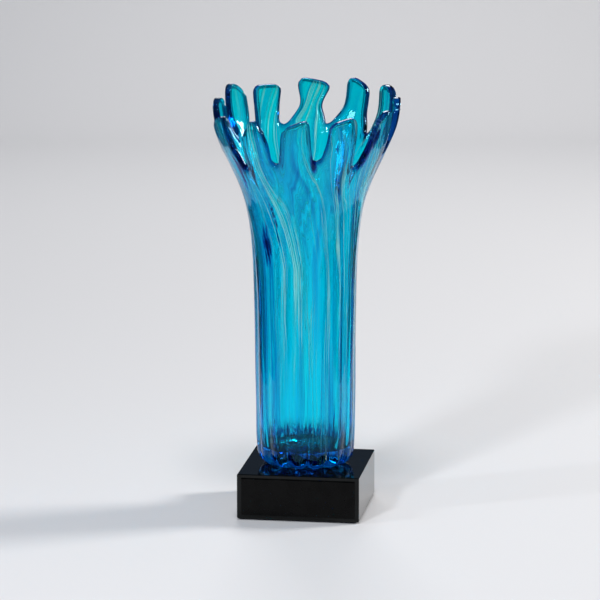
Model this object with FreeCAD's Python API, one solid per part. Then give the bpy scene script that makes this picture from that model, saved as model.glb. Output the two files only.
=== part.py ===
import FreeCAD, Part
import math
import os

from FreeCAD import Vector

# Blown glass award vessel with a crown of twelve pulled fingers. Its ground foot is bonded
# to a black glass block, which carries a blank engraving plate and stands on four pads.
# Lengths are millimetres. The origin is the middle of the resting plane, +Z is up and the
# engraving plate faces -Y. Bearings are degrees from the front, towards +X.

# Base block, sawn from black plate glass, with ground and polished edges
base_width = 101.6
base_height = 37.6
base_edge_bevel = 0.6

# Bumper pads under the block
pad_diameter = 9.5
pad_thickness = 1.2
pad_edge_distance = 9.0

# Engraving plate on the front of the block, and the adhesive film behind it
plate_width = 94.4
plate_height = 31.4
plate_thickness = 1.2
plate_bevel_width = 0.7
plate_bevel_depth = 0.5
tape_thickness = 0.3
tape_margin = 2.0

# Cured adhesive between the ground foot and the block
bond_thickness = 0.3
bond_margin = 1.5

# Vessel wall. The profile of the outer skin rises almost upright from the heel, sweeps out in
# a slow and a quick bend, runs straight, and turns upright again over a zone of a sphere.
foot_radius = 31.0
foot_offset = 0.6
body_radius = 41.4
body_taper_angle = 0.6
heel_height = 13.0
sweep_height = 148.0
slow_bend_radius = 520.0
slow_bend_angle = 6.0
quick_bend_radius = 128.0
quick_bend_angle = 19.0
flare_length = 32.0
tip_upright_length = 40.0
wall_thickness = 4.8
floor_thickness = 15.0
floor_corner = 11.0
inside_chords = 3

# Optic ribs from the dip mould
rib_count = 14
rib_bearing = -2.0
rib_columns = 4
heel_rib_depth = 2.8
body_rib_depth = 1.3

# Crown. The tips and notches are higher at the back than at the front.
crown_height = 311.5
rim_slant = 15.0
notch_height = 274.0
notch_gap = 6.5
finger_width = 26.0
rim_polish = 1.5
outline_overrun = 2.0
foot_grind = 0.5
hand_lean_angle = 0.25

# Fingers, one after the other round the rim from the front towards +X, each with the notch
# that follows it. The shares are of the finger width.
finger_bearings = [2.7, 33.1, 65.8, 98.5, 121.5, 151.5, 181.8, 212.5, 237.5, 257.0, 302.1, 334.1]
tip_rise_shares = [0.0, 0.04, -0.06, 0.1, 0.2, 0.1, 0.03, -0.05, 0.12, -0.05, -0.2, -0.01]
tip_width_shares = [0.94, 0.96, 0.88, 0.8, 1.0, 0.84, 1.1, 1.0, 0.9, 0.7, 0.86, 0.74]
waist_width_shares = [1.02, 1.0, 0.92, 0.84, 0.86, 0.84, 0.72, 0.88, 0.94, 0.76, 0.92, 0.98]
tip_slant_shares = [0.32, 0.2, 0.38, 0.15, 0.15, 0.3, 0.18, 0.02, 0.36, 0.1, 0.3, 0.15]
tip_peak_shares = [0.0, 0.02, 0.05, 0.15, 0.12, 0.05, 0.0, 0.0, 0.12, 0.2, 0.05, 0.3]
notch_rise_shares = [0.16, -0.23, 0.0, -0.1, -0.1, 0.05, 0.04, 0.0, 0.0, -0.1, -0.28, 0.05]
notch_shift_shares = [-0.04, 0.0, 0.0, 0.0, 0.05, 0.28, 0.3, 0.1, 0.0, 0.0, 0.0, -0.09]

# Half of a finger's outline, from its root to the middle of its tip: how far up it lies, how
# far it has gone from the waist's width to the tip's, and the part of that width it takes.
outline_rise_shares = [0.03, 0.24, 0.5, 0.76, 0.97, 1.01, 1.01]
outline_tip_shares = [0.0, 0.0, 0.1, 0.75, 1.0, 1.0, 1.0]
outline_width_shares = [1.0, 1.0, 1.0, 1.0, 1.0, 0.62, 0.0]
notch_dip_share = 0.3

# Rings of the ribbed body: the heel's roll, then the ribs' fading along the slow bend
heel_rise_shares = [0.04, 0.18, 0.5, 1.0]
heel_radius_shares = [0.36, 0.78, 0.97, 1.0]
heel_rib_shares = [0.6, 1.0, 1.0, 0.5]
fade_shares = [0.0, 0.33, 0.67]

base_bottom = pad_thickness
base_top = base_bottom + base_height
foot_plane = base_top + bond_thickness
full_turn = 360.0
vertical = Vector(0, 0, 1)

# Legs of the wall's profile: a length and no turn, or a radius and the turn outward. The
# bend with no radius is centred on the axis.
taper = math.radians(body_taper_angle)
straight = [((sweep_height - heel_height) / math.cos(taper), 0)]
slow_bend = [(slow_bend_radius, slow_bend_angle)]
crown_legs = [
    (quick_bend_radius, quick_bend_angle),
    (flare_length, 0),
    (None, -body_taper_angle - slow_bend_angle - quick_bend_angle),
    (tip_upright_length, 0),
]


def walk(radius, height, angle, legs, depth):
    """Follow the legs at a depth under the skin, and list where each one starts and ends."""
    steps = []
    for size, turn in legs:
        if turn == 0:
            centre = None
            far_radius = radius + size * math.sin(angle)
            far_height = height + size * math.cos(angle)
            far_angle = angle
        else:
            side = math.copysign(1, turn)
            size = radius / math.cos(angle) if size is None else size + side * depth
            centre = (radius + side * size * math.cos(angle), height - side * size * math.sin(angle))
            far_angle = angle + math.radians(turn)
            far_radius = centre[0] - side * size * math.cos(far_angle)
            far_height = centre[1] + side * size * math.sin(far_angle)
        steps.append((radius, height, angle, size, turn, centre, far_radius, far_height, far_angle))
        radius, height, angle = far_radius, far_height, far_angle
    return steps


skin_steps = walk(body_radius, heel_height, taper, straight + slow_bend + crown_legs, 0)
crown_start = len(straight + slow_bend)


def skin_at(level):
    """Radius and slope of the outer skin at a height above the foot."""
    for radius, height, angle, size, turn, centre, far_radius, far_height, far_angle in skin_steps:
        if level <= far_height:
            break
    if centre is None:
        along = (level - height) / math.cos(angle)
        return radius + along * math.sin(angle), angle
    side = math.copysign(1, turn)
    slope = math.asin(max(-1, min(1, side * (level - centre[1]) / size)))
    return centre[0] - side * size * math.cos(slope), slope


def chords(points):
    return [Part.makeLine(start, end) for start, end in zip(points, points[1:])]


def profile_edges(steps, chord_count=0):
    """The walked legs as lines and arcs in the XZ plane, or with their long arcs as chords."""
    edges = []
    for radius, height, angle, size, turn, centre, far_radius, far_height, far_angle in steps:
        start = Vector(radius, 0, height)
        end = Vector(far_radius, 0, far_height)
        if centre is None:
            edges.append(Part.makeLine(start, end))
            continue
        side = math.copysign(1, turn)
        count = chord_count if chord_count and centre[0] > 0 else 2
        points = []
        for i in range(count + 1):
            bend = angle + (far_angle - angle) * i / count
            x = centre[0] - side * size * math.cos(bend)
            points.append(Vector(x, 0, centre[1] + side * size * math.sin(bend)))
        if count == chord_count:
            edges += chords(points)
        else:
            edges.append(Part.Arc(*points).toShape())
    return edges


def turned_solid(edges):
    """The solid that the edges sweep round the axis, closed by flat ends."""
    low = edges[0].Vertexes[0].Point
    high = edges[-1].Vertexes[-1].Point
    top = Part.makeLine(high, Vector(0, 0, high.z))
    axis = Part.makeLine(Vector(0, 0, high.z), Vector(0, 0, low.z))
    edges = edges + [top, axis]
    if low.x > 0:
        edges.append(Part.makeLine(Vector(0, 0, low.z), low))
    return Part.Face(Part.Wire(edges)).revolve(Vector(0, 0, 0), vertical, full_turn)


def at_bearing(bearing, radius, height):
    angle = math.radians(bearing)
    return Vector(radius * math.sin(angle), -radius * math.cos(angle), height)


def closed_curve(points):
    """A smooth closed curve drawn by its control points."""
    count = len(points)
    knots = [float(i) for i in range(count + 1)]
    curve = Part.BSplineCurve()
    curve.buildFromPolesMultsKnots(points, [1] * (count + 1), knots, True, 3)
    return Part.Wire([curve.toShape()])


def ribbed_ring(radius, height, depth):
    """A ring of rounded ribs, with the crests at the radius."""
    columns = rib_count * rib_columns
    step = full_turn / columns
    swell = 3 / (2 + math.cos(math.radians(step)))
    points = []
    for i in range(columns):
        dip = depth * (1 - abs(math.cos(math.pi * i / rib_columns)))
        points.append(at_bearing(rib_bearing + i * step, (radius - dip) * swell, height))
    return closed_curve(points)


def make_ribbed_body():
    """Heel and body with the ribs, up to the level where the ribs have faded."""
    rings = [ribbed_ring(foot_radius, -foot_grind, heel_rib_depth * heel_rib_shares[0])]
    roll = body_radius - foot_radius
    for rise, reach, rib in zip(heel_rise_shares, heel_radius_shares, heel_rib_shares):
        radius = foot_radius + roll * reach
        rings.append(ribbed_ring(radius, heel_height * rise, heel_rib_depth * rib))
    low = skin_steps[crown_start - 1][1]
    high = skin_steps[crown_start][1]
    for share in fade_shares:
        level = low + (high - low) * share
        rings.append(ribbed_ring(skin_at(level)[0], level, body_rib_depth * (1 - share)))
    start = at_bearing(rib_bearing, 1, 0)
    rim = Part.Circle(Vector(0, 0, high), vertical, skin_at(high)[0])
    rim.XAxis = start
    rings.append(Part.Wire([rim.toShape()]))
    return Part.makeLoft(rings, True, True)


def rim_drop(bearing):
    """How far the slanted rim lies below its highest point, at the back."""
    return rim_slant * (1 + math.cos(math.radians(bearing))) / 2


def notch_after(index):
    """Bearing and height of the notch that follows a finger."""
    count = len(finger_bearings)
    following = finger_bearings[(index + 1) % count]
    if index == count - 1:
        following += full_turn
    bearing = (finger_bearings[index] + following) / 2
    height = notch_height - rim_drop(bearing) + notch_rise_shares[index] * finger_width
    shift = notch_shift_shares[index] * finger_width / skin_at(height)[0]
    return bearing + math.degrees(shift), height


def finger_outline(index):
    """Bearings and heights along one finger, from the notch before it to the notch after."""
    before = notch_after((index - 1) % len(finger_bearings))
    if index == 0:
        before = (before[0] - full_turn, before[1])
    notches = (before, notch_after(index))
    root = (notches[0][0] + notches[1][0]) / 2
    tip = crown_height - rim_drop(root) + tip_rise_shares[index] * finger_width
    tip_half = finger_width * tip_width_shares[index] / 2
    waist_half = finger_width * waist_width_shares[index] / 2
    steps = len(outline_rise_shares)
    points = [(before[0], before[1] - notch_dip_share * notch_gap)]
    for column in range(1, 2 * steps):
        side = -1 if column < steps else 1
        beside, notch = notches[0] if side < 0 else notches[1]
        part = column - 1 if column <= steps else 2 * steps - 1 - column
        root_half = math.radians(abs(beside - root)) * skin_at(notch)[0] - notch_gap / 2
        if part == 0:
            half = root_half
        elif part == 1:
            half = (root_half + waist_half) / 2
        else:
            half = waist_half + (tip_half - waist_half) * outline_tip_shares[part]
        half = half * outline_width_shares[part]
        rise = outline_rise_shares[part]
        across = side * half / tip_half
        lift = finger_width * rise ** 2
        height = notch + (tip - notch) * rise + lift * tip_slant_shares[index] * across / 2
        height -= lift * tip_peak_shares[index] * across ** 2
        centre = root + (finger_bearings[index] - root) * math.sqrt(rise)
        points.append((centre + math.degrees(side * half / skin_at(height)[0]), height))
    return points


def outline_curve(outline, inset, depth):
    """The crown's outline moved into the glass along the skin, at a depth under the skin."""
    points = []
    for i, (bearing, height) in enumerate(outline):
        last = outline[i - 1]
        following = outline[(i + 1) % len(outline)]
        turned = (following[0] - last[0]) % full_turn
        if turned > full_turn / 2:
            turned -= full_turn
        radius, slope = skin_at(height)
        run = math.radians(turned) * radius
        climb = (following[1] - last[1]) / math.cos(slope)
        size = math.hypot(run, climb)
        bearing += math.degrees(inset * climb / size / radius)
        height -= inset * run / size * math.cos(slope)
        radius, slope = skin_at(height)
        radius -= depth * math.cos(slope)
        points.append(at_bearing(bearing, radius, height + depth * math.sin(slope)))
    return closed_curve(points)


def make_crown_cutter():
    """Everything above the fingers' outline, with both edges of the rim polished away."""
    outline = []
    for index in range(len(finger_bearings)):
        outline += finger_outline(index)
    outside = -outline_overrun
    inside = wall_thickness + outline_overrun
    clear = rim_polish + outline_overrun
    rings = [
        outline_curve(outline, clear, outside),
        outline_curve(outline, 0, rim_polish),
        outline_curve(outline, 0, wall_thickness - rim_polish),
        outline_curve(outline, clear, inside),
    ]
    top = crown_height + finger_width
    for radius in (body_radius / 2, body_radius * 2 + finger_width):
        rings.append(closed_curve([at_bearing(point[0], radius, top) for point in outline]))
    return Part.makeLoft(rings, True, True, True)


def make_cavity():
    """The inside of the vessel, with a flat floor and a rounded corner."""
    low = floor_thickness + floor_corner
    inner = skin_at(low)[0] - wall_thickness / math.cos(taper)
    flat = Part.makeLine(Vector(0, 0, floor_thickness), Vector(inner - floor_corner, 0, floor_thickness))
    corner = []
    for i in range(inside_chords + 1):
        turn = math.pi / 2 * i / inside_chords
        x = inner - floor_corner * (1 - math.sin(turn))
        corner.append(Vector(x, 0, low - floor_corner * math.cos(turn)))
    rise = sweep_height + wall_thickness * math.sin(taper) - low
    legs = [(rise / math.cos(taper), 0)] + slow_bend + crown_legs
    steps = walk(inner, low, taper, legs, wall_thickness)
    return turned_solid([flat] + chords(corner) + profile_edges(steps, inside_chords))


def make_vessel():
    """The blown piece: ribbed body and flare, hollowed, with the crown cut into fingers."""
    flare = turned_solid(profile_edges(skin_steps[crown_start:]))
    vessel = make_ribbed_body().fuse(flare)
    vessel = vessel.cut(make_cavity())
    vessel = vessel.cut(make_crown_cutter())
    vessel.rotate(Vector(0, 0, 0), Vector(0, 1, 0), -hand_lean_angle)
    reach = 2 * crown_height
    below = centred_box(reach, reach, crown_height, -crown_height)
    vessel = vessel.cut(below)
    vessel.translate(Vector(-foot_offset, 0, foot_plane))
    return vessel.Solids[0]


def centred_box(width, depth, height, bottom):
    return Part.makeBox(width, depth, height, Vector(-width / 2, -depth / 2, bottom))


def make_base():
    """The block, with every edge bevelled."""
    block = centred_box(base_width, base_width, base_height, base_bottom)
    return block.makeChamfer(base_edge_bevel, block.Edges)


def make_bond():
    """The adhesive fills the joint inside the foot's outline."""
    radius = foot_radius - heel_rib_depth * heel_rib_shares[0] - bond_margin
    return Part.makeCylinder(radius, bond_thickness, Vector(-foot_offset, 0, base_top))


def plate_rectangle(y, inset):
    half_width = plate_width / 2 - inset
    low = base_bottom + (base_height - plate_height) / 2 + inset
    high = low + plate_height - 2 * inset
    corners = [(-half_width, low), (half_width, low), (half_width, high), (-half_width, high)]
    points = [Vector(x, y, z) for x, z in corners]
    return Part.makePolygon(points + points[:1])


def make_plate():
    """The blank engraving plate, a flat slab with a bevelled front."""
    back = -base_width / 2 - tape_thickness
    shoulder = back - plate_thickness + plate_bevel_depth
    rings = [
        plate_rectangle(back, 0),
        plate_rectangle(shoulder, 0),
        plate_rectangle(back - plate_thickness, plate_bevel_width),
    ]
    return Part.makeLoft(rings, True, True)


def make_tape():
    width = plate_width - 2 * tape_margin
    height = plate_height - 2 * tape_margin
    bottom = base_bottom + (base_height - height) / 2
    corner = Vector(-width / 2, -base_width / 2 - tape_thickness, bottom)
    return Part.makeBox(width, tape_thickness, height, corner)


def make_pads():
    """Four loose discs, one near each corner."""
    reach = base_width / 2 - pad_edge_distance
    pads = []
    for x in (-reach, reach):
        for y in (-reach, reach):
            pads.append(Part.makeCylinder(pad_diameter / 2, pad_thickness, Vector(x, y, 0)))
    return Part.makeCompound(pads)


parts = {
    "glass_vessel": make_vessel(),
    "base_block": make_base(),
    "bond_layer": make_bond(),
    "engraving_plate": make_plate(),
    "plate_tape": make_tape(),
    "bumper_pads": make_pads(),
}

os.makedirs("parts", exist_ok=True)
for name, shape in parts.items():
    shape.exportStep("parts/" + name + ".step")
    print(name, "solids", len(shape.Solids), "valid", shape.isValid(), "volume", round(shape.Volume))
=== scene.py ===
import bpy
import bmesh
import math
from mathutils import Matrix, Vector, noise


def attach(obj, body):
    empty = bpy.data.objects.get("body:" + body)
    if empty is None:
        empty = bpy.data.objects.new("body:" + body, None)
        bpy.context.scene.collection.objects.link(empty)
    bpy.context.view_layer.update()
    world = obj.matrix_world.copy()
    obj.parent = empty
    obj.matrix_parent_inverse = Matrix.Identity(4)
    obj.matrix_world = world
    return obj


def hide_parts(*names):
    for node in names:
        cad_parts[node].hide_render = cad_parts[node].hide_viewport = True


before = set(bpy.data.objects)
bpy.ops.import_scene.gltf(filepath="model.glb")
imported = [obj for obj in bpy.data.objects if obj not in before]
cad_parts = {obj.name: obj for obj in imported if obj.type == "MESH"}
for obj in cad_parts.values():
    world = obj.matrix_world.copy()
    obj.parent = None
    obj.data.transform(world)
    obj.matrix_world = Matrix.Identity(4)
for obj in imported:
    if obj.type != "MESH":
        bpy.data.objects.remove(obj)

# Blown glass award: a blue vessel with a crown of pulled fingers, on a black glass block
mm = 0.001
noise.seed_set(5)  # without it the crinkles would differ from run to run
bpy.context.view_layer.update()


def toLinear(hexColour):
    channels = [int(hexColour[i:i + 2], 16) / 255 for i in (1, 3, 5)]
    return tuple(c / 12.92 if c <= 0.04045 else ((c + 0.055) / 1.055) ** 2.4 for c in channels)


def withAlpha(hexColour):
    return toLinear(hexColour) + (1.0,)


def deselectAll():
    if bpy.context.object and bpy.context.object.mode != "OBJECT":
        bpy.ops.object.mode_set(mode="OBJECT")
    bpy.ops.object.select_all(action="DESELECT")


def smoothStep(low, high, value):
    share = max(0.0, min(1.0, (value - low) / (high - low)))
    return share * share * (3 - 2 * share)


def curveAt(keys, values, at):
    # a smooth line through the values, level with them at both ends
    if at <= keys[0]:
        return values[0]
    if at >= keys[-1]:
        return values[-1]
    i = max(k for k in range(len(keys) - 1) if keys[k] <= at)
    last = len(keys) - 1
    slopes = []
    for k in (i, i + 1):
        a, b = max(k - 1, 0), min(k + 1, last)
        slopes.append((values[b] - values[a]) / (keys[b] - keys[a]))
    step = keys[i + 1] - keys[i]
    t = (at - keys[i]) / step
    return (values[i] * (2 * t ** 3 - 3 * t ** 2 + 1) + slopes[0] * step * (t ** 3 - 2 * t ** 2 + t)
            + values[i + 1] * (3 * t ** 2 - 2 * t ** 3) + slopes[1] * step * (t ** 3 - t ** 2))


# The camera stands where the block's corners in the photograph put it
cameraSetup = {
    "place": (0.423597, -2.918103, 0.772915),
    "pitchDown": 11.43415,
    "yaw": 8.36607,
    "lens": 217.944,  # mm on a 36 mm frame
}
cameraData = bpy.data.cameras.new("photoCamera")
cameraData.lens = cameraSetup["lens"]
cameraData.sensor_width = 36
cameraData.clip_end = 50
camera = bpy.data.objects.new("photoCamera", cameraData)
bpy.context.scene.collection.objects.link(camera)
camera.location = cameraSetup["place"]
camera.rotation_euler = (math.radians(90 - cameraSetup["pitchDown"]), 0, math.radians(cameraSetup["yaw"]))
bpy.context.scene.camera = camera

# Glass vessel, in millimetres above its ground foot. Shares are of the finger width.
vessel = {
    "foot": 39.1,
    "offset": 0.6,
    "lean": 0.25,
    "profileHeights": [0, 13, 40, 80, 120, 150, 175, 195, 210, 222, 234, 246, 258, 270, 282, 292, 302, 320],
    "profileRadii": [41.2, 41.4, 41.68, 42.1, 42.52, 42.84, 43.8, 45.44, 47.36, 50.09, 54.09, 59.43,
                     65.18, 70.92, 75.7, 78.0, 79.0, 79.1],
    "heelRadii": [22, 29.5, 33.5, 37.8, 40.4],
    "heelHeights": [0, 0, 0.9, 3.4, 7.4],
    "ribs": 14,
    "ribBearing": -2.0,
    "heelRibDepth": 2.7,
    "heelLifts": [0.0, 0.55, 1.1, 0.7, 0.25],  # how far the grooves rise, for each mm of their depth
    "bodyRibDepth": 1.2,
    "ribFade": (120, 225),  # heights between which the body's ribs die out
    "heelFade": (8, 45),  # and those between which the heel's deeper ones do
    "wall": 4.9,
    "floor": 15.0,
    "floorCorner": 11.0,
    "cornerPower": 2.2,  # with 2 it would be round
    "crown": 310.6,
    "slant": 15.0,
    "notch": 274.0,
    "notchGap": 6.2,
    "fingerWidth": 26.0,
    "bearings": [2.7, 33.1, 65.8, 98.5, 121.5, 151.5, 181.8, 212.5, 237.5, 257.0, 302.1, 334.1],
    "tipRises": [0.0, 0.04, -0.06, 0.1, 0.2, 0.1, 0.03, -0.05, 0.12, -0.05, -0.2, -0.01],
    "tipWidths": [0.94, 0.96, 0.88, 0.8, 1.0, 0.84, 1.1, 1.0, 0.9, 0.7, 0.86, 0.74],
    "waistWidths": [1.02, 1.0, 0.92, 0.84, 0.86, 0.84, 0.72, 0.88, 0.94, 0.76, 0.92, 0.98],
    "tipSlants": [0.32, 0.2, 0.38, 0.15, 0.15, 0.3, 0.18, 0.02, 0.36, 0.1, 0.3, 0.15],
    "tipPeaks": [0.0, 0.02, 0.05, 0.15, 0.12, 0.05, 0.0, 0.0, 0.12, 0.2, 0.05, 0.3],
    "notchRises": [0.16, -0.23, 0.0, -0.1, -0.1, 0.05, 0.04, 0.0, 0.0, -0.1, -0.28, 0.05],
    "notchShifts": [-0.04, 0.0, 0.0, 0.0, 0.05, 0.28, 0.3, 0.1, 0.0, 0.0, 0.0, -0.09],
    "bodyRows": [0.05, 0.1, 0.17, 0.26, 0.36, 0.46, 0.56, 0.64, 0.71, 0.77, 0.82, 0.865, 0.905, 0.938,
                 0.965, 0.985],
    "fingerRises": [0.1, 0.22, 0.35, 0.48, 0.61, 0.73, 0.83, 0.91, 0.97, 1.0],
    "fingerStart": 0.03,  # how far up a finger the row of the notches lies
    "rootRise": (0, 0.42),  # shares of a finger's length over which its root narrows to its waist
    "tipRise": (0.38, 0.9),  # and those over which its waist widens to its tip
    "cornerRise": 0.86,  # from here up the corners of a tip are rounded off
    "cornerTaper": 0.16,
    "cornerDrop": 2.2,
    "notchDip": 0.3,  # how far the middle of a notch hangs below its sides, as a share of its gap
    "columnPull": 0.35,  # how far the body's columns give way to the uneven fingers
    "columnRise": 0.55,  # from this share of the body up they turn into them
    "pinch": 1.6,  # depth of the crease that runs down from each notch
    "pinchWidth": 1.3,  # columns
    "pinchRise": (0.72, 0.98),  # shares of the body between which the crease comes in
    "wobble": 0.35,  # the hand-made unevenness of the skin
    "wobbleHeight": 90,
    "wobbleScales": (3.1, 7.3),
    "twist": 0.5,  # radians that the drawn streaks turn through in the flare
    "twistRise": (0.2, 0.34),  # metres up
    "stray": 0.16,  # how far they wander from it there
    "strayBelow": 0.25,  # and below it, as a share of that
    "strayScale": 22,
    "crinkle": 1.7,  # the chilled skin of the inside floor
    "crinkleScales": (260, 600),
    "crinkleFade": 0.7,  # how much of them is lost up the floor's corner
    "floorShade": 0.9,  # painted shade: how dark the inside floor is, as a share of a cobalt trail
    "floorShadeRise": 0.7,
    "footDraw": 0.8,  # the ground foot's inner ring, as a share of its outer one
    # cobalt trails: bearing, height, turn in degrees per mm, half width and half length
    "trails": [(-38, 192, -0.157, 2.4, 15), (-44, 265, 0.1, 3.0, 13), (57, 272, 0.3, 3.6, 17),
               (-50, 250, -0.1, 2.0, 14), (15, 262, -0.1, 1.6, 9), (150, 235, -0.15, 2.6, 22),
               (226, 196, 0.1, 2.2, 18), (104, 205, -0.1, 2.2, 20)],
    # outward and inward swell at the fire-polished rim, beside it, and in the hollow of a finger
    "swells": ((0.45, 1.1), (0.2, 0.5), (-0.3, -0.6)),
    "rimShadeShares": (1.0, 0.35, 0.0),  # how much of the rim's painted cobalt shade each of them takes
}
fingerCount = len(vessel["bearings"])
perFinger = 14
columnCount = fingerCount * perFinger
heelRows = len(vessel["heelRadii"])
bodyRows = len(vessel["bodyRows"])
fingerRows = len(vessel["fingerRises"])
fingerFoot = vessel["foot"] + vessel["notch"]
tubeRadius = 0.045
rowStep = 0.01


def skinAt(height):
    # radius of the smooth skin, before its ribs
    return curveAt(vessel["profileHeights"], vessel["profileRadii"], height)


def rimDrop(bearing):
    return vessel["slant"] * (1 + math.cos(math.radians(bearing))) / 2


def notchAfter(index):
    following = vessel["bearings"][(index + 1) % fingerCount]
    if index == fingerCount - 1:
        following += 360
    bearing = (vessel["bearings"][index] + following) / 2
    height = vessel["notch"] - rimDrop(bearing) + vessel["notchRises"][index] * vessel["fingerWidth"]
    shift = vessel["notchShifts"][index] * vessel["fingerWidth"] / skinAt(height)
    return bearing + math.degrees(shift), height


notches = [notchAfter(i) for i in range(fingerCount)]


def fingerPoint(index, across, rise):
    # across runs from -1 to 1 over the finger, rise from 0 at the notches to 1 at the tip
    before, after = notches[index - 1], notches[index]
    if index == 0:
        before = (before[0] - 360, before[1])
    root = (before[0] + after[0]) / 2
    width = vessel["fingerWidth"]
    share = (across + 1) / 2
    notchHeight = before[1] + (after[1] - before[1]) * smoothStep(0, 1, share)
    tip = vessel["crown"] - rimDrop(root) + vessel["tipRises"][index] * width
    side = after[0] - root if across > 0 else root - before[0]
    rootHalf = math.radians(side) * skinAt(notchHeight) - vessel["notchGap"] / 2
    waistHalf = width * vessel["waistWidths"][index] / 2
    tipHalf = width * vessel["tipWidths"][index] / 2
    half = waistHalf + (tipHalf - waistHalf) * smoothStep(*vessel["tipRise"], rise)
    half += (rootHalf - waistHalf) * (1 - smoothStep(*vessel["rootRise"], rise))
    corner = smoothStep(vessel["cornerRise"], 1.0, rise)
    half *= 1 - vessel["cornerTaper"] * corner
    lift = width * rise ** 2
    height = notchHeight + (tip - notchHeight) * rise
    height += lift * vessel["tipSlants"][index] * across / 2 - lift * vessel["tipPeaks"][index] * across ** 2
    height -= vessel["cornerDrop"] * corner * abs(across) ** 5
    centre = root + (vessel["bearings"][index] - root) * math.sqrt(rise)
    return centre + math.degrees(across * half / skinAt(height)), height


def netPoint(column, row):
    # where the net's crossing lies: its bearing and its height above the foot
    index, line = divmod(column, perFinger)
    across = (line - perFinger / 2) / (perFinger / 2 - 1)
    start = notches[index - 1][0] - (360 if index == 0 else 0)
    span = notches[index][0] - start
    if line == 0:
        target = (start, notches[index - 1][1] - vessel["notchDip"] * vessel["notchGap"])
    else:
        target = fingerPoint(index, across, vessel["fingerStart"])
    if row == 0:
        return target
    if row > 0:
        return fingerPoint(index, across, vessel["fingerRises"][row - 1])
    share = vessel["bodyRows"][bodyRows + row] if row > -bodyRows - 1 else 0
    grown = 360 * column / columnCount + notches[-1][0] - 360
    grown += (span / perFinger * line + start - grown) * vessel["columnPull"]
    turn = smoothStep(vessel["columnRise"], 1.0, share) ** 1.4
    low = vessel["profileHeights"][1]
    return grown + (target[0] - grown) * turn, low + (target[1] - low) * share


def ribDip(bearing, depth):
    turn = math.radians(vessel["ribs"] * (bearing - vessel["ribBearing"]) / 2)
    return depth * (1 - abs(math.cos(turn)))


def toFrame(bearing, radius, height):
    angle = math.radians(bearing)
    lean = vessel["offset"] + height * math.sin(math.radians(vessel["lean"]))
    return Vector((radius * math.sin(angle) - lean, -radius * math.cos(angle), vessel["foot"] + height)) * mm


def netPlace(column, row):
    # rows count from the notches: fingers above zero, body below, then the heel's roll
    if row < -bodyRows:
        # the ribs have 0.8 of their depth at the ground foot, and all of it two rows on
        ring = row + bodyRows + heelRows
        bearing = netPoint(column, -bodyRows - 1)[0]
        depth = vessel["heelRibDepth"] * (0.8 + 0.2 * min(1, ring / 2))
        dip = ribDip(bearing, depth)
        lift = vessel["heelLifts"][ring] * dip
        return toFrame(bearing, vessel["heelRadii"][ring] - dip, vessel["heelHeights"][ring] + lift)
    bearing, height = netPoint(column, row)
    radius = skinAt(height)
    fade = 1 - smoothStep(*vessel["ribFade"], height)
    heel = 1 - smoothStep(*vessel["heelFade"], height)
    depth = vessel["bodyRibDepth"] * fade + (vessel["heelRibDepth"] - vessel["bodyRibDepth"]) * heel
    radius -= ribDip(bearing, depth)
    # creases below the notches
    near = (column + perFinger / 2) % perFinger - perFinger / 2
    below = smoothStep(*vessel["pinchRise"], 1 + row / bodyRows) if row < 0 else 1 - smoothStep(0, 3, row)
    radius -= vessel["pinch"] * below * math.exp(-(near / vessel["pinchWidth"]) ** 2)
    angle = math.radians(bearing)
    spot = Vector((math.sin(angle), math.cos(angle), height / vessel["wobbleHeight"]))
    broad, fine = [noise.noise(spot * scale) for scale in vessel["wobbleScales"]]
    radius += vessel["wobble"] * (broad + 0.6 * fine) - vessel["wobble"]
    return toFrame(bearing, radius, height)


def makeVessel():
    # a straight tube with battlements is extruded row by row, and then drawn onto the skin
    deselectAll()
    bpy.ops.mesh.primitive_cylinder_add(
        vertices=columnCount, radius=tubeRadius, depth=rowStep, end_fill_type="NOTHING",
        location=(0, 0, rowStep / 2))
    tube = bpy.context.object
    tube.name = "glassVessel"
    bpy.ops.object.transform_apply(location=True, rotation=True, scale=True)
    bpy.ops.object.mode_set(mode="EDIT")
    bpy.ops.mesh.select_mode(type="EDGE")
    for row in range(1, heelRows + bodyRows):
        selectEdges(tube, ringTest(row * rowStep, range(columnCount)))
        bpy.ops.mesh.extrude_edges_move(TRANSFORM_OT_translate={"value": (0, 0, rowStep)})
    battlements = {c for c in range(columnCount) if c % perFinger not in (0, perFinger - 1)}
    for row in range(heelRows + bodyRows, heelRows + bodyRows + fingerRows):
        selectEdges(tube, ringTest(row * rowStep, battlements))
        bpy.ops.mesh.extrude_edges_move(TRANSFORM_OT_translate={"value": (0, 0, rowStep)})
    bpy.ops.mesh.select_all(action="DESELECT")
    bpy.ops.object.mode_set(mode="OBJECT")
    mesh = tube.data
    mesh.attributes.new("flow", "FLOAT_VECTOR", "POINT")
    mesh.attributes.new("trailAndFloorShade", "FLOAT", "POINT")
    flow, trailAndFloorShade = mesh.attributes["flow"], mesh.attributes["trailAndFloorShade"]
    for vertex in mesh.vertices:
        column, row = gridPlace(vertex.co)
        place = netPlace(column, row - heelRows - bodyRows)
        pulled = smoothStep(*vessel["twistRise"], place.z)
        turn = math.atan2(vertex.co.x, -vertex.co.y) + vessel["twist"] * pulled
        stray = noise.noise(place * vessel["strayScale"])
        turn += vessel["stray"] * (vessel["strayBelow"] + pulled) * stray
        flow.data[vertex.index].vector = (tubeRadius * math.sin(turn), -tubeRadius * math.cos(turn), place.z)
        trailAndFloorShade.data[vertex.index].value = trailAt(*netPoint(column, max(row - heelRows, 0) - bodyRows))
        vertex.co = place
    print("net drawn", len(mesh.vertices), [round(v, 4) for v in tube.bound_box[6]])
    closeFoot(tube)
    print("foot closed", len(mesh.vertices))
    return tube


def trailAt(bearing, height):
    strongest = 0
    for centre, middle, turn, halfWidth, halfLength in vessel["trails"]:
        gap = (bearing - centre - turn * (height - middle) + 180) % 360 - 180
        across = math.radians(gap) * skinAt(height) / halfWidth
        strongest = max(strongest, math.exp(-across ** 2 - ((height - middle) / halfLength) ** 2))
    return strongest


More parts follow.
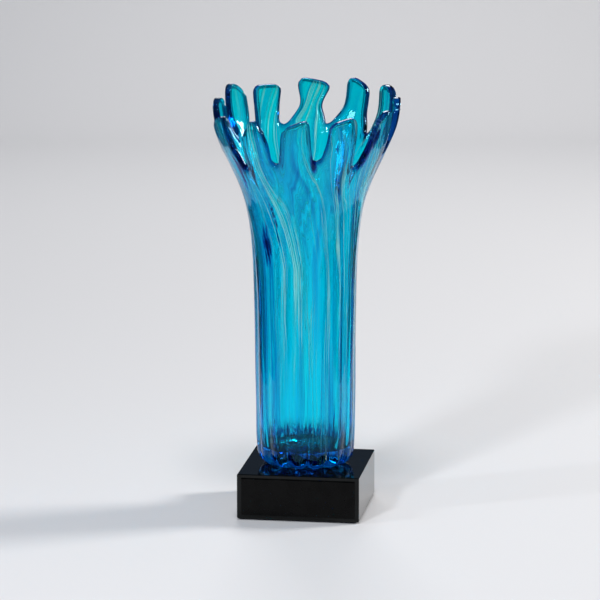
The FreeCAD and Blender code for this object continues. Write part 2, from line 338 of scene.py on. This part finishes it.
def gridPlace(co):
    column = round(math.degrees(math.atan2(co.x, -co.y)) / 360 * columnCount) % columnCount
    return column, round(co.z / rowStep)


def selectEdges(piece, wanted):
    # of the piece in edit mode, only the edges are selected that wanted says yes to
    bpy.ops.mesh.select_all(action="DESELECT")
    grid = bmesh.from_edit_mesh(piece.data)
    for edge in grid.edges:
        edge.select = wanted(edge)
    grid.select_flush_mode()
    bmesh.update_edit_mesh(piece.data)


def ringTest(height, columns):
    # edges of one ring, picked by the columns that they start from
    def wanted(edge):
        a, b = [gridPlace(v.co) for v in edge.verts]
        level = abs(edge.verts[0].co.z - height) < rowStep / 4 and a[1] == b[1]
        first = a[0] if (a[0] + 1) % columnCount == b[0] else b[0]
        return level and first in columns
    return wanted


def closeFoot(tube):
    # the underside is closed by rings drawn in towards the middle
    deselectAll()
    tube.select_set(True)
    bpy.context.view_layer.objects.active = tube
    bpy.ops.object.mode_set(mode="EDIT")
    brim = min(v.co.z for v in bmesh.from_edit_mesh(tube.data).verts) + 0.1 * mm
    selectEdges(tube, lambda edge: edge.is_boundary and all(v.co.z < brim for v in edge.verts))
    middle = (-vessel["offset"] * mm, 0, vessel["foot"] * mm)
    bpy.ops.mesh.extrude_edges_move()
    bpy.ops.transform.resize(value=(vessel["footDraw"], vessel["footDraw"], 1), center_override=middle)
    bpy.ops.mesh.fill_grid(span=columnCount // 4)
    bpy.ops.mesh.select_all(action="SELECT")
    bpy.ops.mesh.normals_make_consistent(inside=False)
    bpy.ops.object.mode_set(mode="OBJECT")


def thickenVessel(tube):
    # the sheet gets its wall, the floor its full depth, and the rims their fire-polished round
    mesh = tube.data
    outside = len(mesh.vertices)
    uses = {}
    for face in mesh.polygons:
        for key in face.edge_keys:
            uses[key] = uses.get(key, 0) + 1
    rim = {v for key, use in uses.items() if use == 1 for v in key}
    beside = {v for key in uses if rim.intersection(key) for v in key} - rim
    away = [vertex.normal.copy() for vertex in mesh.vertices]
    tips = {v.index for v in mesh.vertices if v.co.z > fingerFoot * mm} - rim - beside
    wall = tube.modifiers.new("wall", "SOLIDIFY")
    wall.thickness = vessel["wall"] * mm
    wall.offset = -1
    wall.use_even_offset = False
    bpy.ops.object.modifier_apply(modifier=wall.name)
    foot = vessel["foot"]
    floorTop = (foot + vessel["floor"]) * mm
    corner = vessel["floorCorner"] * mm
    shoulder = (foot + vessel["wall"]) * mm
    trailAndFloorShadeLayer = mesh.attributes["trailAndFloorShade"]
    for vertex in mesh.vertices[outside:]:
        if vertex.co.z < floorTop + corner:
            level = max(0, (vertex.co.z - shoulder) / (floorTop + corner - shoulder))
            vertex.co.z = floorTop + corner * level ** vessel["cornerPower"]
            chill = vessel["crinkle"] * mm * (1 - vessel["crinkleFade"] * level)
            coarse, fine = [noise.noise_vector(vertex.co * scale) for scale in vessel["crinkleScales"]]
            vertex.co += coarse * chill + fine * chill * 0.6
            # painted shade: the inside floor is darkened, most on its flat and fading up its corner
            inkAndFloorShade = 1 - smoothStep(0.0, vessel["floorShadeRise"], level)
            trailAndFloorShadeLayer.data[vertex.index].value = vessel["floorShade"] * inkAndFloorShade
    # painted shade: the rim attribute marks the rims, and more faintly the rows beside them, for a dark
    # cobalt outline
    edge = mesh.attributes.new("rim", "FLOAT", "POINT")
    for group, swell, share in zip((rim, beside, tips), vessel["swells"], vessel["rimShadeShares"]):
        for v in group:
            mesh.vertices[v].co += away[v] * swell[0] * mm
            mesh.vertices[v + outside].co -= away[v] * swell[1] * mm
            edge.data[v].value = share
            edge.data[v + outside].value = share
    rounding = tube.modifiers.new("rounding", "SUBSURF")
    rounding.levels = 1
    rounding.render_levels = 1
    bpy.ops.object.modifier_apply(modifier=rounding.name)
    bpy.ops.object.shade_smooth()


glassVessel = makeVessel()
thickenVessel(glassVessel)
print("vessel made", len(glassVessel.data.polygons))


def addNode(tree, kind, settings=None, inputs=None):
    # an input is a socket to link from, or a fixed value
    node = tree.nodes.new(kind)
    for name, value in (settings or {}).items():
        setattr(node, name, value)
    for name, value in (inputs or {}).items():
        if isinstance(value, bpy.types.NodeSocket):
            tree.links.new(value, node.inputs[name])
        else:
            node.inputs[name].default_value = value
    return node


def newMaterial(name):
    material = bpy.data.materials.new(name)
    material.use_nodes = True
    material.node_tree.nodes.clear()
    return material, material.node_tree


def setRamp(node, stops):
    ramp = node.color_ramp
    while len(ramp.elements) < len(stops):
        ramp.elements.new(0.5)
    for element, (place, colour) in zip(ramp.elements, stops):
        element.position = place
        element.color = withAlpha(colour)


# A scale of 1000 has features of 1 mm, here across, along and up the glass. Bands are about 14 mm
# wide, streaks 5, wisps and ripples 8, and torn edges 3. The threads are the middle tenth of 4 mm
# features: finer ones, as the real glass has too, wouldn't show.
blueGlassLook = {
    # how the noise is drawn out, its detail, and its colour stops
    "patterns": {
        "bands": ((70, 70, 3), 2.0, [(0.36, "#14D8F0"), (0.48, "#18F6FF"), (0.6, "#1CFFFF")]),
        "streaks": ((210, 210, 4), 4.0,
                    [(0.32, "#70AAD6"), (0.43, "#CAEAF8"), (0.52, "#F4FCFF"), (0.68, "#FFFFFF")]),
        "threads": ((230, 230, 3.5), 3.0,
                    [(0.465, "#000000"), (0.497, "#FFFFFF"), (0.503, "#FFFFFF"), (0.535, "#000000")]),
        "gather": ((70, 70, 3), 3.0, [(0.44, "#000000"), (0.58, "#FFFFFF")]),
        "torn": ((380, 380, 42), 5.0, [(0.36, "#181818"), (0.58, "#FFFFFF")]),
        "wisps": ((120, 120, 3.5), 4.0, [(0.5, "#000000"), (0.64, "#B0B0B0")]),
        "ripples": ((120, 120, 6), 1.0, [(0.3, "#000000"), (0.7, "#FFFFFF")]),
    },
    "grain": 0.55,  # roughness of the noise
    "absorbed": (0.0, 0.976, 0.9985, 1.0),  # linear, because hex steps are too coarse so near to 1
    "absorption": 900.0,
    "milkRise": (0.06, 0.2),  # heights between which the wisps and threads come in
    "milkBelow": 0.15,  # and their share below
    "milk": "#1CD4E2",
    "thread": "#BCFAEC",
    "cloudiness": 0.6,  # how much less light a full wisp or thread lets through
    "inkAndFloorShade": [(0.25, "#2C40B0"), (0.45, "#1A0C3C")],  # a trail's edge and its core, which also colour the inside floor's painted shade
    "inkAndFloorShadeRise": (0.1, 0.3),  # how strong a trail, and the floor's painted shade, is where its colour starts and where it is full
    "tipRise": (0.3, 0.36),  # heights between which the glass thins to aqua
    "tip": "#D8F6EA",
    # painted shade: a dark purple band over the heel, strongest where the glass faces the eye
    "heelShadeRise": ((vessel["foot"] + 6) * mm, (vessel["foot"] + 31) * mm),
    "heelShadeBand": [(0.0, "#000000"), (0.14, "#FFFFFF"), (0.5, "#FFFFFF"), (1.0, "#000000")],
    "heel": "#241058",
    "heelShadeFacing": (0.3, 0.6),  # the heel's painted shade dies out between these turns away from the eye
    "heelShadeShare": 0.9,
    # painted shade: a dark cobalt on the rims and where the glass turns away from the eye
    "cobaltEdgeShade": "#1A1C84",
    "edgeShadeFacing": (0.5, 0.95),  # painted shade: edges go dark cobalt between these turns away from the eye
    "edgeShadeShare": 0.6,
    "rimShadeShare": 0.9,
    # lowered from glass's IOR of 1.5, until the walls pass as much of the pale room as the real ones
    "skin": {"Roughness": 0.015, "IOR": 1.38, "Specular IOR Level": 0.4,
             "Specular Tint": withAlpha("#90EDFF")},
    "relief": {"Strength": 0.3, "Distance": 0.0008},
}


def drawnNoise(tree, flow, name):
    # noise drawn out along the glass as it was pulled, and graded by colour stops
    scale, detail, stops = blueGlassLook["patterns"][name]
    pulled = addNode(tree, "ShaderNodeMapping", inputs={"Vector": flow, "Scale": scale})
    grain = addNode(tree, "ShaderNodeTexNoise", inputs={
        "Vector": pulled.outputs["Vector"], "Scale": 1.0, "Detail": detail,
        "Roughness": blueGlassLook["grain"]})
    graded = addNode(tree, "ShaderNodeValToRGB", inputs={"Fac": grain.outputs["Fac"]})
    setRamp(graded, stops)
    return graded.outputs["Color"]


def makeBlueGlass():
    # soda-lime glass dyed by copper: cyan through one wall, cobalt where light goes a long way,
    # with wisps of milky aqua glass and a few trails of cobalt glass drawn out in it;
    # the dark cobalt of its rims and edges, its dark heel band and its dark inside floor are painted shade
    look = blueGlassLook
    material, tree = newMaterial("blownBlueGlass")
    flow = addNode(tree, "ShaderNodeAttribute", {"attribute_name": "flow"}).outputs["Vector"]
    rim = addNode(tree, "ShaderNodeAttribute", {"attribute_name": "rim"}).outputs["Fac"]
    trailAndFloorShade = addNode(tree, "ShaderNodeAttribute", {"attribute_name": "trailAndFloorShade"}).outputs["Fac"]
    height = addNode(tree, "ShaderNodeSeparateXYZ", inputs={"Vector": flow}).outputs["Z"]
    facing = addNode(tree, "ShaderNodeLayerWeight", inputs={"Blend": 0.5}).outputs["Facing"]
    patterns = {name: drawnNoise(tree, flow, name) for name in look["patterns"]}
    trailAndFloorShade = addNode(tree, "ShaderNodeMath", {"operation": "MULTIPLY"},
                    {0: trailAndFloorShade, 1: patterns["torn"]}).outputs[0]
    ranges = {
        "drawn": (height, *look["milkRise"], look["milkBelow"], 1.0),
        "tips": (height, *look["tipRise"], 0.0, 1.0),
        "heel": (height, *look["heelShadeRise"], 0.0, 1.0),
        "trails": (trailAndFloorShade, *look["inkAndFloorShadeRise"], 0.0, 1.0),
        "aheadShade": (facing, *look["heelShadeFacing"], look["heelShadeShare"], 0.0),
        "turned": (facing, *look["edgeShadeFacing"], 0.0, look["edgeShadeShare"]),
    }
    sockets = ("Value", "From Min", "From Max", "To Min", "To Max")
    shares = {name: addNode(tree, "ShaderNodeMapRange", inputs=dict(zip(sockets, terms))).outputs["Result"]
              for name, terms in ranges.items()}
    inkAndFloorShadeRamp = addNode(tree, "ShaderNodeValToRGB", inputs={"Fac": trailAndFloorShade})
    setRamp(inkAndFloorShadeRamp, look["inkAndFloorShade"])
    heelShadeBand = addNode(tree, "ShaderNodeValToRGB", inputs={"Fac": shares["heel"]})
    setRamp(heelShadeBand, look["heelShadeBand"])
    gathered = addNode(tree, "ShaderNodeMath", {"operation": "MULTIPLY"},
                       {0: patterns["threads"], 1: patterns["gather"]}).outputs[0]
    milk = addNode(tree, "ShaderNodeMath", {"operation": "MAXIMUM"},
                   {0: gathered, 1: patterns["wisps"]}).outputs[0]
    milk = addNode(tree, "ShaderNodeMath", {"operation": "MULTIPLY"},
                   {0: milk, 1: shares["drawn"]}).outputs[0]
    threads = addNode(tree, "ShaderNodeMath", {"operation": "MULTIPLY"},
                      {0: gathered, 1: shares["drawn"]}).outputs[0]
    # painted shade on the heel, torn at its edges and gone where the glass turns from the eye
    heel = addNode(tree, "ShaderNodeMath", {"operation": "MULTIPLY"},
                   {0: heelShadeBand.outputs["Color"], 1: patterns["torn"]}).outputs[0]
    heel = addNode(tree, "ShaderNodeMath", {"operation": "MULTIPLY"},
                   {0: heel, 1: shares["aheadShade"]}).outputs[0]
    # painted shade: dark cobalt on the rims, and on the edges as they turn away from the eye
    cobaltEdgeShade = addNode(tree, "ShaderNodeMath", {"operation": "MULTIPLY_ADD", "use_clamp": True},
                     {0: rim, 1: look["rimShadeShare"], 2: shares["turned"]}).outputs[0]
    clear = addNode(tree, "ShaderNodeMath", {"operation": "MULTIPLY_ADD"},
                    {0: milk, 1: -look["cloudiness"], 2: 1.0}).outputs[0]
    # from the clear glass up to the painted cobalt shade of its edges
    colour = patterns["bands"]
    layers = [
        (1.0, patterns["streaks"], "MULTIPLY"),
        (milk, withAlpha(look["milk"]), "MIX"),
        (threads, withAlpha(look["thread"]), "MIX"),
        (shares["trails"], inkAndFloorShadeRamp.outputs["Color"], "MIX"),
        (shares["tips"], withAlpha(look["tip"]), "MULTIPLY"),
        (heel, withAlpha(look["heel"]), "MIX"),
        (cobaltEdgeShade, withAlpha(look["cobaltEdgeShade"]), "MIX"),
    ]
    for share, tone, blend in layers:
        colour = addNode(tree, "ShaderNodeMix", {"data_type": "RGBA", "blend_type": blend},
                         {0: share, 6: colour, 7: tone}).outputs[2]
    relief = addNode(tree, "ShaderNodeBump", inputs={"Height": patterns["ripples"], **look["relief"]})
    shader = addNode(tree, "ShaderNodeBsdfPrincipled", inputs={
        **look["skin"], "Base Color": colour, "Normal": relief.outputs["Normal"],
        "Transmission Weight": clear})
    depth = addNode(tree, "ShaderNodeVolumeAbsorption",
                    inputs={"Color": look["absorbed"], "Density": look["absorption"]})
    addNode(tree, "ShaderNodeOutputMaterial",
            inputs={"Surface": shader.outputs["BSDF"], "Volume": depth.outputs["Volume"]})
    return material


glassVessel.data.materials.clear()
glassVessel.data.materials.append(makeBlueGlass())
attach(glassVessel, "root")
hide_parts("glass_vessel")
print("blue glass set")

wornLooks = {
    # black plate glass, ground and polished: a deep dark mirror under a thin film from wiping.
    # Its IOR and the plate's are lowered until they mirror as little as in the photograph
    "polishedBlackGlass": {
        "colours": ("#040606", "#080C0C"), "roughness": (0.02, 0.07), "scale": 60.0,
        "fixed": {"IOR": 1.25, "Coat Weight": 0.6, "Coat IOR": 1.2, "Coat Roughness": 0.02}},
    # metal under baked black paint: it mirrors little and softly
    "satinBlackPlate": {
        "colours": ("#050505", "#0B0B0B"), "roughness": (0.12, 0.22), "scale": 90.0,
        "fixed": {"IOR": 1.18}},
    # adhesive cured under a lamp: clear, with a slight haze where it squeezed out
    "curedClearAdhesive": {
        "colours": ("#C8D6DC", "#E6EEF2"), "roughness": (0.05, 0.18), "scale": 300.0,
        "fixed": {"IOR": 1.45, "Transmission Weight": 0.9}},
    # thin double-sided tape, of which just the dull dark edge shows
    "adhesiveFilm": {
        "colours": ("#101112", "#1A1B1C"), "roughness": (0.6, 0.8), "scale": 400.0,
        "fixed": {"IOR": 1.4}},
    # soft clear polyurethane: milky in its depth, with a worn skin
    "clearBumperRubber": {
        "colours": ("#B9BEC0", "#D6DADB"), "roughness": (0.2, 0.4), "scale": 250.0,
        "fixed": {"IOR": 1.45, "Transmission Weight": 0.75}},
}
smudge = {"detail": 5.0, "roughness": 0.6, "span": (0.35, 0.65)}
wornNodes = {
    "base_block": "polishedBlackGlass",
    "engraving_plate": "satinBlackPlate",
    "bond_layer": "curedClearAdhesive",
    "plate_tape": "adhesiveFilm",
    "bumper_pads": "clearBumperRubber",
}


def makeWorn(name):
    # one soft pattern of wiping and handling varies the colour a little and the gloss more
    look = wornLooks[name]
    material, tree = newMaterial(name)
    place = addNode(tree, "ShaderNodeTexCoord").outputs["Object"]
    smudges = addNode(tree, "ShaderNodeTexNoise", inputs={
        "Vector": place, "Scale": look["scale"], "Detail": smudge["detail"],
        "Roughness": smudge["roughness"]}).outputs["Fac"]
    colour = addNode(tree, "ShaderNodeValToRGB", inputs={"Fac": smudges})
    setRamp(colour, list(zip(smudge["span"], look["colours"])))
    gloss = addNode(tree, "ShaderNodeMapRange", inputs={
        "Value": smudges, "From Min": smudge["span"][0], "From Max": smudge["span"][1],
        "To Min": look["roughness"][0], "To Max": look["roughness"][1]})
    shader = addNode(tree, "ShaderNodeBsdfPrincipled", inputs={
        **look["fixed"], "Base Color": colour.outputs["Color"], "Roughness": gloss.outputs["Result"]})
    addNode(tree, "ShaderNodeOutputMaterial", inputs={"Surface": shader.outputs["BSDF"]})
    return material


for name, look in wornNodes.items():
    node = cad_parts[name]
    node.data.materials.clear()
    node.data.materials.append(makeWorn(look))
print("block, plate, film and pads set")

# Studio: a pale sweep of paper, a key light from the right and behind, and four weaker soft boxes
studio = {
    "turn": 8.37,  # the sheet lies square to the camera
    "width": 0.98,
    "front": 0.8,
    "back": 2.3,
    "height": 0.35,
    "bend": 0.33,
    "bendSteps": 24,
    "firstStep": 0.1,  # how far the sheet leans back above its fold, before the bend
    "floorColour": "#DFDEDF",
    "floorRoughness": 0.9,
    "roomColour": "#384250",
    "airColour": "#E6E9EE",
    "airThroughGlass": 0.2,  # the share of that paleness which reaches the eye through the vessel
}
deselectAll()
bpy.ops.mesh.primitive_plane_add(size=1, location=(0, (studio["back"] - studio["front"]) / 2, 0))
sweep = bpy.context.object
sweep.scale = (studio["width"], studio["back"] + studio["front"], 1)
bpy.ops.object.transform_apply(location=True, rotation=True, scale=True)
sweep.name = "studioSweep"
bpy.ops.object.mode_set(mode="EDIT")
bpy.ops.mesh.select_mode(type="EDGE")
selectEdges(sweep, lambda edge: all(v.co.y > 0 for v in edge.verts))
bpy.ops.mesh.extrude_edges_move(TRANSFORM_OT_translate={"value": (0, studio["firstStep"], studio["height"])})
selectEdges(sweep, lambda edge: len(edge.link_faces) == 2)
bpy.ops.mesh.bevel(offset=studio["bend"], segments=studio["bendSteps"], affect="EDGES")
bpy.ops.object.mode_set(mode="OBJECT")
sweep.rotation_euler.z = math.radians(studio["turn"])
bpy.ops.object.transform_apply(location=True, rotation=True, scale=True)
bpy.ops.object.shade_smooth()
paper, paperTree = newMaterial("matteStudioPaper")
paperShader = addNode(paperTree, "ShaderNodeBsdfPrincipled",
                      inputs={"Base Color": withAlpha(studio["floorColour"]),
                              "Roughness": studio["floorRoughness"]})
addNode(paperTree, "ShaderNodeOutputMaterial", inputs={"Surface": paperShader.outputs["BSDF"]})
sweep.data.materials.append(paper)

# past the paper the room is dark to the glass, and as pale as the paper to the camera
world = bpy.data.worlds.new("studioAir")
bpy.context.scene.world = world
world.use_nodes = True
airTree = world.node_tree
airTree.nodes.clear()
seen = addNode(airTree, "ShaderNodeLightPath").outputs
passed = addNode(airTree, "ShaderNodeMath", {"operation": "MULTIPLY_ADD"}, {
    0: seen["Is Transmission Ray"], 1: studio["airThroughGlass"], 2: seen["Is Camera Ray"]}).outputs[0]
airTone = addNode(airTree, "ShaderNodeMix", {"data_type": "RGBA"}, {
    0: passed, 6: withAlpha(studio["roomColour"]), 7: withAlpha(studio["airColour"])}).outputs[2]
air = addNode(airTree, "ShaderNodeBackground", inputs={"Color": airTone, "Strength": 1.0})
addNode(airTree, "ShaderNodeOutputWorld", inputs={"Surface": air.outputs["Background"]})
print("studio sheet and air set")

softBoxAim = (0, 0, 0.18)
softBoxes = {
    "key": {"place": (2.25, 1.0, 1.4), "size": (0.6, 0.6), "watts": 60, "colour": "#FFFCF8"},
    "top": {"place": (0.1, -0.7, 1.9), "size": (0.4, 0.4), "watts": 13, "colour": "#FCFDFF"},
    "front": {"place": (-0.7, -1.9, 1.3), "size": (0.24, 0.24), "watts": 19, "colour": "#F6FAFF"},
    "left": {"place": (-1.4, -0.8, 1.1), "size": (0.1, 0.6), "watts": 5, "colour": "#F2F8FF"},
    "back": {"place": (-0.4, 2.0, 1.6), "size": (0.8, 0.8), "watts": 17, "colour": "#FFFFFF"},
}
for name, box in softBoxes.items():
    data = bpy.data.lights.new(name + "SoftBox", "AREA")
    data.shape = "RECTANGLE"
    data.size, data.size_y = box["size"]
    data.energy = box["watts"]
    data.color = toLinear(box["colour"])
    lamp = bpy.data.objects.new(name + "SoftBox", data)
    bpy.context.scene.collection.objects.link(lamp)
    lamp.location = box["place"]
    aim = Vector(softBoxAim) - Vector(box["place"])
    lamp.rotation_euler = aim.to_track_quat("-Z", "Y").to_euler()
print("soft boxes set", len(softBoxes))

bpy.context.scene.view_settings.view_transform = "Standard"
